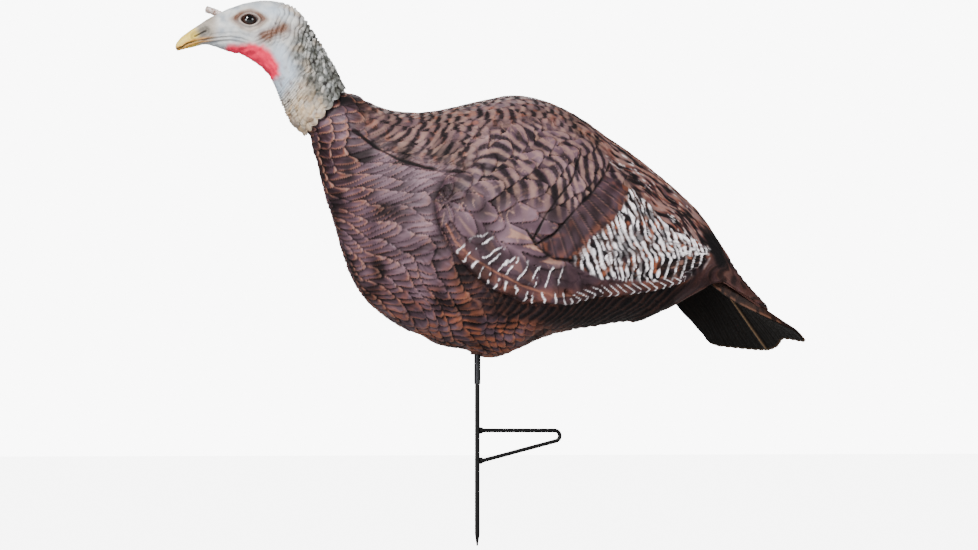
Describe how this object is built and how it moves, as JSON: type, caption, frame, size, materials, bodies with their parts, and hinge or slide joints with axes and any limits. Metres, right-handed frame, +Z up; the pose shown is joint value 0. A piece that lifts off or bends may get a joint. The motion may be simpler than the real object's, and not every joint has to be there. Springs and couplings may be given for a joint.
{
  "type": "turkey decoy",
  "caption": "Life-size hen turkey decoy with a hollow feathered body, a pull-off turning head and a thin tail fan, free to swing on a steel ground stake with a welded foot step.",
  "frame": {"origin": "on the ground stake's axis at ground level, where the underside of the foot step's upper bar lies", "axes": "+Z up along the stake, -X the way the bird looks, -Y the bird's left side"},
  "size_m": [0.767, 0.2762, 0.652],
  "materials": {
    "black_steel": "satin black powder coat",
    "grey_steel": "dull grey, oxidised",
    "painted_body": "matte, hand painted feathers",
    "painted_tail": "matte, dark brown feathers",
    "painted_head": "matte, painted skin, soft",
    "eye_gloss": "clear gloss",
    "black_plastic": "moulded",
    "nylon": "moulded, natural",
    "seal_rubber": "moulded"
  },
  "bodies": {
    "stake": {"ground_stake": "black_steel", "foot_step": "black_steel"},
    "pivot": {"pivot_tube": "grey_steel", "tube_end_plug": "grey_steel", "retaining_washer": "grey_steel"},
    "decoy_body": {"body_shell_left": "painted_body", "body_shell_right": "painted_body", "rear_bulkhead": "black_plastic", "tail_fan": "painted_tail", "tail_rivet_left": "black_plastic", "tail_rivet_right": "black_plastic", "stake_socket": "black_plastic", "top_bush": "nylon", "thrust_pad": "nylon", "belly_bush": "nylon", "neck_collar": "black_plastic"},
    "neck_swivel": {"neck_cup": "black_plastic", "cup_snap_ring": "grey_steel"},
    "head": {"head_shell": "painted_head", "neck_spigot": "black_plastic", "spigot_o_ring": "seal_rubber", "eye_left": "eye_gloss", "eye_right": "eye_gloss", "snood": "painted_head"}
  },
  "joints": [
    {"name": "body_lift", "type": "slide", "parent": "stake", "child": "pivot", "axis": [0, 0, 1], "range_m": [0, 0.28]},
    {"name": "body_swivel", "type": "hinge", "parent": "pivot", "child": "decoy_body", "pos_m": [0, 0, 0.1], "axis": [0, 0, 1], "continuous": true},
    {"name": "head_turn", "type": "hinge", "parent": "decoy_body", "child": "neck_swivel", "pos_m": [-0.194, 0, 0.386], "axis": [-0.788, 0, 0.6157], "range_deg": [-40, 40]},
    {"name": "head_pull", "type": "slide", "parent": "neck_swivel", "child": "head", "axis": [-0.788, 0, 0.6157], "range_m": [0, 0.088]}
  ]
}
